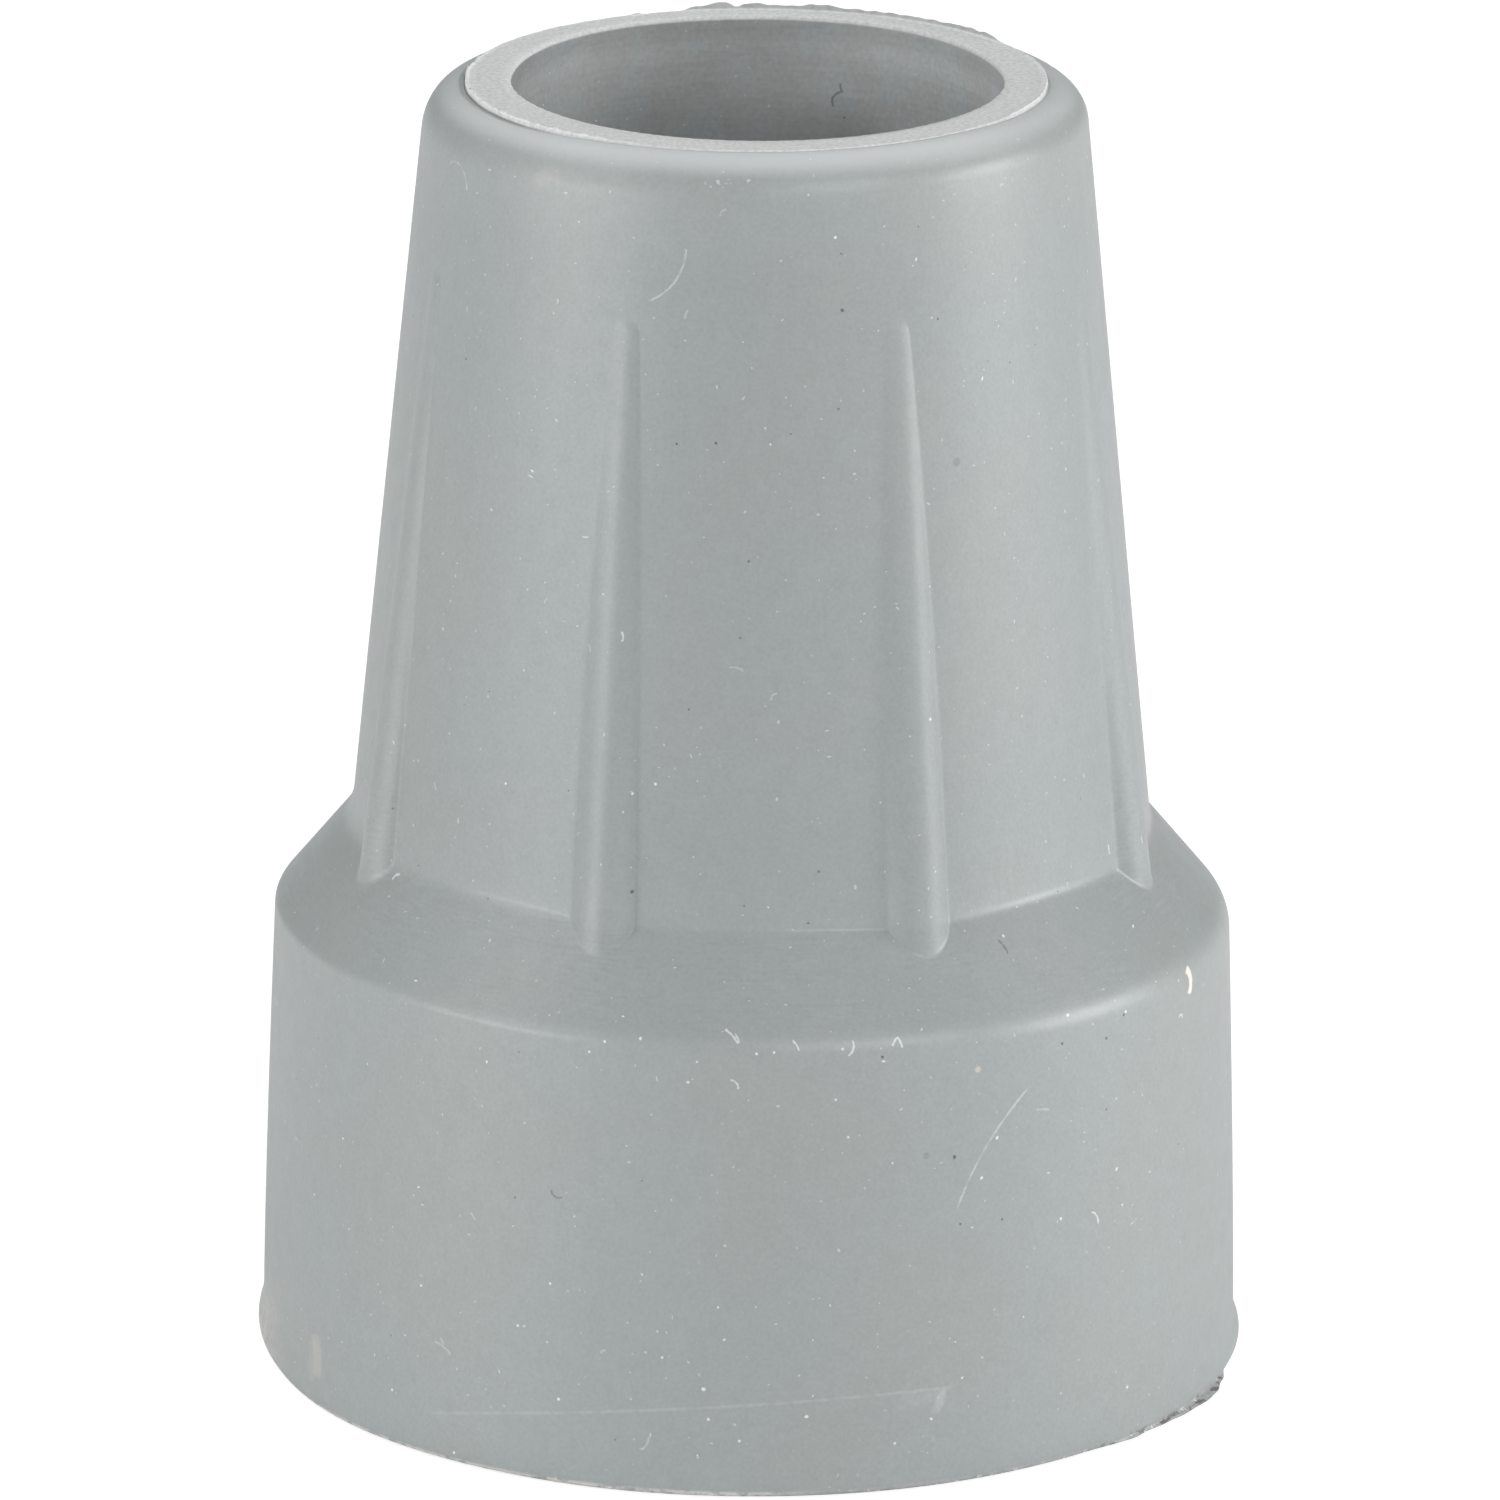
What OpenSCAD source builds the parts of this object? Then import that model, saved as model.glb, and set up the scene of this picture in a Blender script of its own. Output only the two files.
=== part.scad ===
// Rubber cane tip: one moulded piece. A blind socket takes the end of a cane,
// a ribbed sleeve tapers out around it, and a wide base block stands on the floor.
// Millimetres, +Z up, origin at the centre of the tread that meets the floor.

/* [Overall] */
// Height from the tread to the flat land around the socket
height = 51.3; // [48:0.1:58]

/* [Socket] */
// Diameter of the socket that grips the cane
socket_d = 19.05; // [15:0.05:20]
// Depth of the socket below the rim
socket_depth = 35; // [27:0.5:42]
// Radius at the bottom corner of the socket
socket_corner_r = 0.8; // [0.2:0.1:2]
// Bevel at the mouth of the socket
mouth_bevel = 0.1; // [0.05:0.05:0.6]

/* [Rim] */
// Width of the flat land around the mouth
land_w = 1.7; // [1:0.1:2.2]
// Height of the land above the rounded shoulder outside it
land_step = 0.12; // [0.05:0.01:0.3]
// Radius that rounds the sleeve over to the land
rim_round_r = 1.3; // [0.6:0.1:1.6]
// Height of the thin moulding flash that stands on the outer edge of the land
flash_h = 0.3; // [0.1:0.05:0.5]
// Thickness of the moulding flash
flash_w = 0.15; // [0.1:0.05:0.4]

/* [Sleeve] */
// Diameter of the sleeve carried up to the rim, before the rounding
sleeve_top_d = 25.5; // [25:0.1:28]
// Diameter of the sleeve where it meets the base
sleeve_foot_d = 31.3; // [30:0.1:33]
// Radius in the corner between the sleeve and the base
neck_round_r = 0.5; // [0.2:0.1:1]

/* [Ribs] */
// Number of ribs around the sleeve
rib_count = 8; // [6:1:10]
// Distance from the rim down to the tops of the ribs
rib_top_drop = 6.4; // [4:0.1:12]
// How far a rib stands out of the sleeve at its top
rib_top_proud = 0.06; // [0.05:0.01:0.25]
// How far a rib stands out of the sleeve at its foot
rib_foot_proud = 0.8; // [0.5:0.01:1.3]
// Radius of the round section of a rib
rib_round_r = 1.4; // [1:0.05:2.2]

/* [Base] */
// Height of the upright wall of the base
base_wall_h = 18.05; // [14:0.05:22]
// Height of the slope from the base wall up to the sleeve
shoulder_h = 3.7; // [2:0.1:5]
// Diameter of the base at the top of its wall
base_top_d = 37.5; // [37:0.1:40]
// Diameter of the base at the bottom of its wall
base_foot_d = 38.4; // [37.5:0.1:41]
// Radius at the outer edge of the slope
shoulder_round_r = 1.1; // [0.3:0.1:1.4]
// Height of the bead around the foot of the base
bead_h = 1.8; // [1.2:0.1:3]
// How far the bead stands out of the base wall
bead_proud = 0.28; // [0.1:0.02:0.5]
// How far the tread is drawn in under the bead
bead_tuck = 0.3; // [0.1:0.05:0.6]

/* [Tread] */
// Number of round grooves in the tread
groove_count = 3; // [1:1:3]
// Radius of the middle of the innermost groove
groove_first_r = 5.6; // [4:0.1:6.5]
// Distance from one groove to the next
groove_pitch = 4.2; // [3:0.1:4.8]
// Width of a groove at the tread
groove_w = 1.8; // [1:0.1:2.2]
// Depth of a groove
groove_depth = 0.8; // [0.4:0.1:1.5]

/* [Hidden] */
$fn = 96;
overcut = 1;                      // cutters run this far past what they cut
round_steps = 6;                  // straight pieces in a rounded corner
bead_steps = 10;                  // straight pieces in the bead
ball_steps = 12;                  // straight pieces from the side of a rib to its end
bead_tuck_power = 5;              // the tuck under the bead fades upwards by this power
groove_floor_share = 0.6;         // width of a groove's floor over its width

socket_r = socket_d / 2;
socket_floor_z = height - socket_depth;
land_r = socket_r + land_w;
rim_z = height - land_step;
sleeve_top_r = sleeve_top_d / 2;
sleeve_foot_r = sleeve_foot_d / 2;
sleeve_foot_z = base_wall_h + shoulder_h;
base_top_r = base_top_d / 2;
base_foot_r = base_foot_d / 2;

rib_top_z = height - rib_top_drop;
rib_root_z = base_wall_h - shoulder_h;       // the ribs end inside the base

// Radius of the bare sleeve at height z
function sleeve_r(z) =
    sleeve_foot_r
    + (sleeve_top_r - sleeve_foot_r) * (z - sleeve_foot_z) / (rim_z - sleeve_foot_z);

// Points that round the corner b between a and c with radius r
function rounded(a, b, c, r) =
    let (
        to_a = (a - b) / norm(a - b),
        to_c = (c - b) / norm(c - b),
        half = acos(to_a * to_c) / 2,
        middle = b + (to_a + to_c) / norm(to_a + to_c) * r / sin(half),
        start = b + to_a * r / tan(half) - middle,
        end = b + to_c * r / tan(half) - middle,
        from = atan2(start.y, start.x),
        swing = atan2(start.x * end.y - start.y * end.x, start * end)
    )
    [for (i = [0 : round_steps]) let (t = from + swing * i / round_steps)
        middle + r * [cos(t), sin(t)]];

// The bead swells out of the wall and tucks in under itself at the tread
function bead_points() =
    [for (i = [1 : bead_steps - 1]) let (t = i / bead_steps)
        [base_foot_r + bead_proud * sin(180 * t) - bead_tuck * pow(1 - t, bead_tuck_power),
         bead_h * t]];

// Outline of the whole outside, from the axis at the tread to the axis at the rim
function outside_points() =
    let (
        tread_edge = [base_foot_r - bead_tuck, 0],
        wall_foot = [base_foot_r, bead_h],
        wall_top = [base_top_r, base_wall_h],
        neck = [sleeve_foot_r, sleeve_foot_z],
        rim_corner = [sleeve_top_r, rim_z],
        land_foot = [land_r, rim_z]
    )
    concat(
        [[0, 0], tread_edge],
        bead_points(),
        [wall_foot],
        rounded(wall_foot, wall_top, neck, shoulder_round_r),
        rounded(wall_top, neck, rim_corner, neck_round_r),
        rounded(neck, rim_corner, land_foot, min(rim_round_r, sleeve_top_r - land_r - land_step)),
        [land_foot,
         [land_r, height + flash_h],
         [land_r - flash_w, height + flash_h],
         [land_r - flash_w, height],
         [0, height]]
    );

module outside() {
    rotate_extrude() polygon(outside_points());
}

// A round bar that leans outwards from its top, down the sleeve and into the base.
// Its ball-shaped top end dips into the sleeve
module rib() {
    top = [sleeve_r(rib_top_z) + rib_top_proud, rib_top_z];
    foot = [sleeve_foot_r + rib_foot_proud, sleeve_foot_z];
    lean = atan2(foot.x - top.x, top.y - foot.y);
    root_r = foot.x + (sleeve_foot_z - rib_root_z) * tan(lean);
    dip_run = sqrt(rib_top_proud * (2 * rib_round_r - rib_top_proud));
    ball_z = (rib_top_z - rib_root_z) / cos(lean) - dip_run;
    translate([root_r, 0, rib_root_z])
        rotate([0, -lean, 0])
            translate([-rib_round_r, 0, 0])
                rotate_extrude()
                    polygon(concat(
                        [[0, 0], [rib_round_r, 0]],
                        [for (i = [0 : ball_steps]) let (t = 90 * i / ball_steps)
                            [0, ball_z] + rib_round_r * [cos(t), sin(t)]]
                    ));
}

module ribs() {
    for (i = [0 : rib_count - 1])
        rotate([0, 0, (i + 0.5) * 360 / rib_count])
            rib();
}

module socket() {
    mouth = [socket_r, height - mouth_bevel];
    floor_corner = [socket_r, socket_floor_z];
    floor_middle = [0, socket_floor_z];
    rotate_extrude()
        polygon(concat(
            [floor_middle],
            rounded(floor_middle, floor_corner, mouth, socket_corner_r),
            [mouth,
             [socket_r + mouth_bevel + overcut, height + overcut],
             [0, height + overcut]]
        ));
}

module tread_grooves() {
    half = groove_w / 2;
    for (i = [0 : groove_count - 1])
        rotate_extrude()
            translate([groove_first_r + i * groove_pitch, 0])
                polygon([[-half, 0], [-half, -overcut], [half, -overcut], [half, 0],
                         [half * groove_floor_share, groove_depth],
                         [-half * groove_floor_share, groove_depth]]);
}

module cane_tip() {
    color("darkgray")
        difference() {
            union() {
                outside();
                ribs();
            }
            socket();
            tread_grooves();
        }
}

cane_tip();
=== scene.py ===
"""Rubber cane tip: one moulded rubber piece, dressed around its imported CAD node."""

import math

import bpy
import numpy as np
from mathutils import Euler, Matrix


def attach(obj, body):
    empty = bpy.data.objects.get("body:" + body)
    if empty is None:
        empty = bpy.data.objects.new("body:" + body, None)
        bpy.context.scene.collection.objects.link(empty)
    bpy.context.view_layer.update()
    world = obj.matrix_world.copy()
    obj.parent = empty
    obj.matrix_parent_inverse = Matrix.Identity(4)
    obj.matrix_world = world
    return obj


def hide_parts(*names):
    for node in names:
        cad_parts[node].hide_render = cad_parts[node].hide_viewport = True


MM = 0.001

# Real sizes in millimetres. They are the part's own, but for five that follow this worn
# piece: MOUTH_BEVEL, LAND_W, SLEEVE_TOP_R, BASE_TOP_R and BEAD_PROUD. +Z up, origin under
# the tread's centre. An azimuth is an angle from the front (-Y), positive towards +X.
HEIGHT = 51.3
SOCKET_R = 9.525
SOCKET_DEPTH = 35.0
SOCKET_CORNER_R = 0.8
MOUTH_BEVEL = 0.05
LAND_W = 1.72
LAND_STEP = 0.12
FLASH_TOP = 0.3
SLEEVE_TOP_R = 12.73
SLEEVE_FOOT_R = 15.65
RIB_COUNT = 8
RIB_TOP_DROP = 6.4
RIB_TOP_PROUD = 0.06
RIB_FOOT_PROUD = 0.80
RIB_ROUND_R = 1.4
BASE_WALL_H = 18.05
SHOULDER_H = 3.7
BASE_TOP_R = 18.74
BASE_FOOT_R = 19.2
BEAD_H = 1.8
BEAD_PROUD = 0.22
BEAD_TUCK = 0.3
BEAD_TUCK_POWER = 5
GROOVE_COUNT = 3
GROOVE_FIRST_R = 5.6
GROOVE_PITCH = 4.2
GROOVE_W = 1.8
GROOVE_DEPTH = 0.8
GROOVE_FLOOR_SHARE = 0.6

SOCKET_FLOOR_Z = HEIGHT - SOCKET_DEPTH
LAND_R = SOCKET_R + LAND_W
RIM_Z = HEIGHT - LAND_STEP
SLEEVE_FOOT_Z = BASE_WALL_H + SHOULDER_H
RIB_TOP_Z = HEIGHT - RIB_TOP_DROP
HALF_PITCH = math.pi / RIB_COUNT   # angle from a rib to the middle of a panel
SHOULDER_RUN = (BASE_TOP_R - SLEEVE_FOOT_R) / SHOULDER_H   # outward per mm down
SHOULDER_SLOPE = math.hypot(SHOULDER_H, BASE_TOP_R - SLEEVE_FOOT_R)
SLOPE_OUT = (BASE_TOP_R - SLEEVE_FOOT_R) / SHOULDER_SLOPE  # outward per mm along the slope
SLOPE_UP = SHOULDER_H / SHOULDER_SLOPE                     # upward per mm along the slope

# The refined mesh
HALF_COLUMNS = 28              # columns from a rib's crest to the middle of a panel
CREASE_STATIONS = (0, .07, .15, .25, .4, .6, .78, .88, .94, .98, 1.01, 1.05, 1.1, 1.2, 1.4, 1.8)
CREASE_LEAST = math.radians(1.6)
FAR_CROWDING = 1.15            # how the columns past the crease crowd towards it
RIB_LEFT_SOFT = 0.45           # mm over which the left flank of a rib melts into the sleeve
RIB_RIGHT_SOFT = 0.08          # the same for its right flank
RIB_SOFT_PROUD = 0.5           # both are less where a rib stands less proud than this

# Small unevenness of the moulding, millimetres
PANEL_FLAT = 0.16              # how much flatter than round the panels between the ribs are
SLEEVE_SHIFT = 0.05            # how far the sleeve's top stands to the right
SHIFT_FROM_Z = 28.0
MOUTH_SHIFT = 0.12             # how far the mouth stands to the right
MOUTH_BACK = 0.57              # how much further than round the mouth reaches at the back
MOUTH_FRONT = 0.16             # the same at the front
FRONT_RISE = 0.12              # how much higher the rim's rounding starts at the front
LAND_SHIFT = 0.07              # how far the land's outer edge stands to the right
BASE_SHIFT = 0.06              # how far the top of the base wall stands to the right
SHOULDER_TILT = 0.12           # how much higher the shoulder is on the left than in front
WALL_CURVE = 1.3               # the base wall falls in towards its top by this power

# Roundings, and where the rings of the mesh change
EDGE_ROUND = 1.1               # radius that rounds the outer edge of the shoulder
EDGE_CRISPER = 0.6             # how much smaller it is on the left
NECK_TURN = math.radians(36)   # angle through which the fillet at the neck turns
NECK_COLUMNS_Z = SLEEVE_FOOT_Z - 0.6   # height whose columns the neck uses
CREASE_FADE = 0.7              # how the crowding at the creases fades down the shoulder
RIB_TIP_LOW = RIB_TOP_Z - 0.7    # around the ribs' tips the rings are close together
RIB_TIP_HIGH = RIB_TOP_Z + 0.3
SLEEVE_TOP_GAP = 2.2           # the sleeve's rings end this far under the rim
RIM_DOWN = 1.55                # how far under the rim its rounding starts
RIM_DOWN_TILT = 0.20           # how much further on the left
RIM_TURN = math.radians(84.3)  # angle through which the rounding turns
RIM_LEDGE = 0.10               # the rounding ends this far outside the flash
FLASH_FOOT_W = 0.18            # the flash stands on this width of the land's edge
MOUTH_RIM_W = 0.1              # the flat of the land ends this far outside the bevel

# Colours, linear
RUBBER_COOL = (0.350, 0.377, 0.379, 1)
RUBBER_WARM = (0.356, 0.379, 0.376, 1)
# The land's two colours are pale partly from its powdery cut face and partly as painted light
# from above
LAND_PALE = (0.744, 0.758, 0.750, 1)
LAND_DARK = (0.613, 0.627, 0.618, 1)
# The pale rounding outside the land: a little scuff, and mostly a painted highlight
SCUFF_AND_HIGHLIGHT_PALE = (0.650, 0.676, 0.676, 1)
FIN_GREY = (0.400, 0.395, 0.390, 1)
# The socket's colours are paler than the rubber outside: painted light for the dim socket
BORE_GREY = (0.475, 0.502, 0.504, 1)
BORE_BROWN = (0.466, 0.477, 0.470, 1)
DIRT_DARK = (0.07, 0.065, 0.06, 1)
DUST_WHITE = (0.80, 0.82, 0.82, 1)
DUST_WARM = (0.60, 0.57, 0.52, 1)
# The lip's colour: partly its own pale warm tint, partly painted light that lifts the shade
# under the tucked foot
LIP_TINT_AND_LIGHT = (0.65, 0.635, 0.61, 1)
DRIP_WHITE = (0.90, 0.84, 0.78, 1)
ROUGHNESS = 0.40

# Studio
AMBIENT = 0.05
FLOOR_HALF = 3.0               # metres
FLOOR_DROP = 0.02 * MM         # keeps the floor from lying in the face of the tread
FLOOR_PAPER = (0.94, 0.94, 0.94, 1)
FLOOR_SHADED = (0.3, 0.3, 0.3, 1)
FLOOR_GLOW = 0.86
LIGHT_DISTANCE = 1.0           # metres, from the middle of the part

# Marks on the outside, picked one by one on the photo and turned into real places through
# the camera: lines from one azimuth (degrees) and height (mm) to another, bowed to their
# left by so many mm, and dots with their radius
LONG_SCRATCH = (23.2, 11.2, 32.6, 15.4, 0.33)
CUT_LINE = (-40.9, 1.9, 22.1, 4.0, 0.62)
CUT_END = (21.8, 4.0, 19.7, 2.1, -0.12)
CUT_FAN = (16.5, 3.7, 21.6, 3.7, 0.05)
HAIR = (-18.9, 45.8, -13.0, 47.8, -0.35)
SHORT_HAIR = (-66.2, 49.3, -59.6, 48.6, 0.45)
BROKEN_LINES = [LONG_SCRATCH, HAIR, SHORT_HAIR]
DOTTED_LINE = (-10.2, 50.35, -1.5, 50.45, 0.03)
FINE_LINES = [(-4.9, 31.9, -3.0, 31.8, 0.05), (-12.9, 45.2, -12.5, 45.5, 0.03),
              (-14.0, 1.85, -13.1, 2.36, -0.08), (34.0, 14.5, 35.6, 14.4, 0.02),
              (-40.8, 4.8, -38.6, 4.5, 0.05), (-26.6, 32.4, -26.2, 32.2, 0.02),
              (-54.6, 25.6, -54.2, 25.4, 0.02), (-59.1, 26.2, -58.7, 26.2, 0.02),
              (-35.8, 10.3, -35.4, 10.1, 0.02), (-40.0, 5.0, -39.6, 4.8, 0.02),
              (-18.8, 5.6, -18.4, 5.7, 0.02), (44.7, 49.4, 45.3, 49.4, 0.02),
              (-7.3, 49.2, -6.5, 49.4, 0.06), (1.2, 30.7, 2.0, 30.9, 0.06)]
LINT = [(-4.5, 18.6, -3.15, 18.2, 0.03), (-3.35, 18.45, -2.97, 18.22, 0.02),
        (3.4, 18.25, 4.0, 17.94, 0.02), (10.44, 18.14, 10.45, 17.91, 0.02),
        (10.45, 17.91, 9.9, 17.64, 0.03), (15.2, 17.91, 15.86, 18.15, 0.03),
        (15.86, 18.15, 16.28, 17.82, 0.03), (-3.79, 16.75, -3.01, 16.46, 0.07),
        (42.3, 9.8, 43.3, 9.3, 0.10), (-21.0, 33.1, -20.9, 32.8, 0.03),
        (-61.4, 21.4, -60.5, 21.6, 0.03), (60.5, 22.6, 60.6, 22.3, 0.03),
        (60.2, 16.2, 61.0, 16.1, 0.09)]
DARK_LINES = [(-25.2, 11.8, -23.9, 11.6, -0.12), (33.6, 20.7, 34.2, 20.3, 0.02)]
SMEARS = [(-64.2, 1.4, -64.0, 2.6, 0.05), (-41.0, 49.8, -38.0, 50.1, 0.05)]
LEFT_SMEAR = (-63.1, 2.75, -62.7, 1.75, 0.04)
DRIP = (63.0, 17.75, 63.3, 17.0, 0.12)
DRIP_END = (63.3, 16.95, 0.13)
PALE_DOTS = [(-14.6, 18.2, 0.06), (9.15, 17.9, 0.05), (47.5, 9.7, 0.05), (-5.2, 7.7, 0.05),
             (-6.8, 4.4, 0.08), (-6.2, 3.2, 0.07), (5.0, 3.3, 0.07), (-2.7, 2.35, 0.05),
             (15.4, 2.0, 0.05), (-43.1, 6.9, 0.06), (-25.2, 8.1, 0.05), (-29.3, 6.2, 0.05),
             (-47.6, 2.3, 0.06), (-37.9, 0.5, 0.06), (-24.0, 3.5, 0.06), (23.7, 4.3, 0.05),
             (48.3, 2.2, 0.07), (28.4, 13.7, 0.07), (26.3, 12.2, 0.07), (37.4, 9.9, 0.06),
             (48.6, 17.4, 0.07), (-18.86, 17.98, 0.06), (-7.84, 17.44, 0.05),
             (-8.87, 16.62, 0.05), (8.34, 15.92, 0.05), (-20.74, 17.51, 0.05),
             (-0.9, 17.8, 0.05), (1.1, 17.85, 0.05), (9.8, 14.4, 0.06), (-11.6, 5.6, 0.06),
             (-34.1, 16.5, 0.06), (-15.6, 27.3, 0.06), (57.7, 19.8, 0.06), (-18.8, 26.9, 0.06),
             (24.8, 29.6, 0.06), (12.0, 48.3, 0.06)]
WARM_DOTS = [(25.9, 16.55, 0.13)]
DARK_DOTS = [(13.9, 17.5, 0.06), (22.8, 13.2, 0.08), (12.9, 45.5, 0.07), (29.0, 10.4, 0.05),
             (23.5, 10.5, 0.05), (-55.5, 42.2, 0.05), (-7.5, 40.5, 0.05), (-13.7, 40.4, 0.05),
             (-18.4, 23.1, 0.08), (37.8, 16.9, 0.06), (45.0, 16.6, 0.06), (48.2, 17.3, 0.05),
             (-2.2, 36.0, 0.05), (6.4, 22.0, 0.05)]
BLURRED_DOTS = [(32.1, 39.2, 0.18), (19.2, 13.4, 0.14)]
BORE_CRACK = [(158.7, 48.68, 158.3, 48.42, 0.02), (158.3, 48.42, 160.5, 48.14, 0.04),
              (160.5, 48.14, 160.4, 47.83, 0.02)]

# Heights and radii between which the paint changes
LAND_Z = (51.10, 51.20)
FLASH_Z = (51.33, 51.42)
FLASH_FOOT_Z = (51.24, 51.34)
RIM_SCUFF_AND_HIGHLIGHT_Z = (50.40, 51.15)
LAND_SPAN_R = (9.42, 11.34)
FLASH_SPAN_R = (11.0, 11.45)
FLASH_FOOT_SPAN_R = (11.06, 11.34)
OUTSIDE_R = (11.35, 11.50)
BORE_R = (10.5, 10.7)
BORE_Z = (10.0, 12.0)
SHOULDER_SPAN_Z = (18.6, 21.4)
SLEEVE_SHADE_Z = (25.0, 46.0)

# Camera, fitted to the rim, the rib ends and the outline
CAMERA_AZIMUTH = math.radians(-1.7)
CAMERA_DISTANCE = 520.0
CAMERA_HEIGHT = 181.5
CAMERA_PITCH = math.radians(16.83)
CAMERA_YAW = math.radians(0.0054)
CAMERA_ROLL = math.radians(0.28)
CAMERA_LENS = 332.8
CAMERA_SENSOR = 36.0


def sleeve_r(z):
    """Radius of the bare sleeve at height z."""
    share = (z - SLEEVE_FOOT_Z) / (RIM_Z - SLEEVE_FOOT_Z)
    return SLEEVE_FOOT_R + (SLEEVE_TOP_R - SLEEVE_FOOT_R) * share


def smooth_max(a, b, soft):
    """The larger of a and b, rounded over where they differ by less than soft."""
    close = np.maximum(soft - np.abs(a - b), 0)
    return np.maximum(a, b) + close**2 / (4 * soft)


def rib_proud(z):
    """How far a rib stands out of the round sleeve at z."""
    down = (RIB_TOP_Z - z) / (RIB_TOP_Z - SLEEVE_FOOT_Z)
    return RIB_TOP_PROUD + (RIB_FOOT_PROUD - RIB_TOP_PROUD) * down


def rib_circle(z):
    """Radii of the middle of a rib's round section and of the section itself at z. The
    section shrinks to a ball's at the rib's top end."""
    dip_run = math.sqrt(RIB_TOP_PROUD * (2 * RIB_ROUND_R - RIB_TOP_PROUD))
    over = np.clip(z - (RIB_TOP_Z - dip_run), 0, RIB_ROUND_R * 0.98)
    return sleeve_r(z) + rib_proud(z) - RIB_ROUND_R, np.sqrt(RIB_ROUND_R**2 - over**2)


def panel_r(delta, z):
    """Radius of the sleeve without its ribs, at an angle delta from the nearest crest. Its
    panels are a little flatter than round, less so towards the tops of the ribs."""
    up = np.clip((z - SLEEVE_FOOT_Z) / (RIB_TOP_Z - SLEEVE_FOOT_Z), 0, 1)
    aside = (HALF_PITCH - np.abs(delta)) / HALF_PITCH
    return sleeve_r(z) + PANEL_FLAT * (1 - up**2) * aside**2


def outer_r(theta, delta, z):
    """Radius of the ribbed sleeve at an angle delta from the nearest crest. Its top stands
    a little to the right of the socket's axis."""
    centre, ridge = rib_circle(z)
    inside = np.maximum(ridge**2 - (centre * np.sin(delta)) ** 2, 0)
    bar = centre * np.cos(delta) + np.sqrt(inside)
    soft = np.where(delta < 0, RIB_LEFT_SOFT, RIB_RIGHT_SOFT)
    soft = soft * np.clip(rib_proud(z) / RIB_SOFT_PROUD, 0.1, 1)
    shift = SLEEVE_SHIFT * np.clip((z - SHIFT_FROM_Z) / (RIM_Z - SHIFT_FROM_Z), 0, 1)
    return smooth_max(panel_r(delta, z), bar, soft) + shift * np.sin(theta)


def crease_angle(z):
    """Angle from the crest at which a rib meets the sleeve."""
    centre, ridge = (float(v) for v in rib_circle(np.float64(z)))
    s = float(panel_r(CREASE_LEAST, z))
    return max(CREASE_LEAST, math.acos(min(1, (centre**2 + s**2 - ridge**2) / (2 * centre * s))))


def columns(z, even):
    """Azimuth of every column, and its angle from the nearest crest: crowded at the
    creases where even is 0, equally spaced where it is 1."""
    crease = crease_angle(min(z, RIB_TOP_Z))
    near = np.array(CREASE_STATIONS) * crease
    rest = HALF_COLUMNS - len(near) + 1
    far = near[-1] + (HALF_PITCH - near[-1]) * np.linspace(0, 1, rest + 1)[1:] ** FAR_CROWDING
    crowded = np.concatenate([near, far])
    spread = np.linspace(0, HALF_PITCH, HALF_COLUMNS + 1)
    half = crowded * (1 - even) + spread * even
    delta = np.concatenate([-half[:0:-1], half[:-1]])
    crests = (np.arange(RIB_COUNT) + 0.5) * 2 * HALF_PITCH - math.pi
    theta = (crests[:, None] + delta[None, :]).ravel()
    return theta, np.tile(delta, RIB_COUNT)


def hump(theta, centre_deg, half_width_deg):
    """1 at an azimuth, falling smoothly to 0 at half_width on both sides of it."""
    away = np.degrees(np.angle(np.exp(1j * (theta - math.radians(centre_deg)))))
    t = np.clip(1 - np.abs(away) / half_width_deg, 0, 1)
    return t * t * (3 - 2 * t)


def plateau(theta, first_deg, last_deg, edge_deg):
    """1 between two azimuths, going up from the first to the last, 0 outside them."""
    middle = (first_deg + last_deg) / 2
    away = np.degrees(np.angle(np.exp(1j * (theta - math.radians(middle)))))
    t = np.clip(((last_deg - first_deg) / 2 - np.abs(away)) / edge_deg + 0.5, 0, 1)
    return t * t * (3 - 2 * t)


def ripple(theta, seed, lowest, highest):
    """Smooth noise around the circle, about -1 to 1, with so many waves to a turn."""
    rng = np.random.default_rng(seed)
    waves = np.arange(lowest, highest + 1)
    phase = rng.uniform(0, 2 * math.pi, len(waves))
    size = rng.uniform(0.4, 1.0, len(waves))
    total = (size[:, None] * np.cos(waves[:, None] * theta[None, :] + phase[:, None])).sum(0)
    return total / math.sqrt((size**2).sum())


def arc(start, corner, end, t, turn):
    """Point at t on the arc that leaves start for corner and ends at end, turning so far."""
    weight = math.cos(turn / 2)
    a, b, c = (1 - t) ** 2, 2 * t * (1 - t) * weight, t * t
    total = a + b + c
    return tuple((a * p + b * q + c * s) / total for p, q, s in zip(start, corner, end))


class Skin:
    """The closed skin of the part, as rings of points from the tread to the socket's floor."""

    def __init__(self):
        self.rings = []

    def ring(self, theta, r, z):
        r = np.broadcast_to(r, theta.shape)
        z = np.broadcast_to(z, theta.shape)
        self.rings.append(np.stack([r * np.sin(theta), -r * np.cos(theta), z], 1))

    def mesh(self, name):
        ring_count, around = len(self.rings), len(self.rings[0])
        points = np.concatenate(self.rings)
        first_centre = [0, 0, self.rings[0][:, 2].mean()]
        last_centre = [0, 0, self.rings[-1][:, 2].mean()]
        points = np.concatenate([points, [first_centre, last_centre]]) * MM
        j = np.arange(around)
        k = (j + 1) % around
        faces = []
        for i in range(ring_count - 1):
            low, high = i * around, (i + 1) * around
            faces += np.stack([low + j, low + k, high + k, high + j], 1).tolist()
        first, last = ring_count * around, ring_count * around + 1
        faces += np.stack([k, j, np.full(around, first)], 1).tolist()
        top = (ring_count - 1) * around
        faces += np.stack([top + j, top + k, np.full(around, last)], 1).tolist()
        mesh = bpy.data.meshes.new(name)
        mesh.from_pydata(points.tolist(), [], faces)
        mesh.shade_smooth()
        mesh.update()
        return mesh


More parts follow.
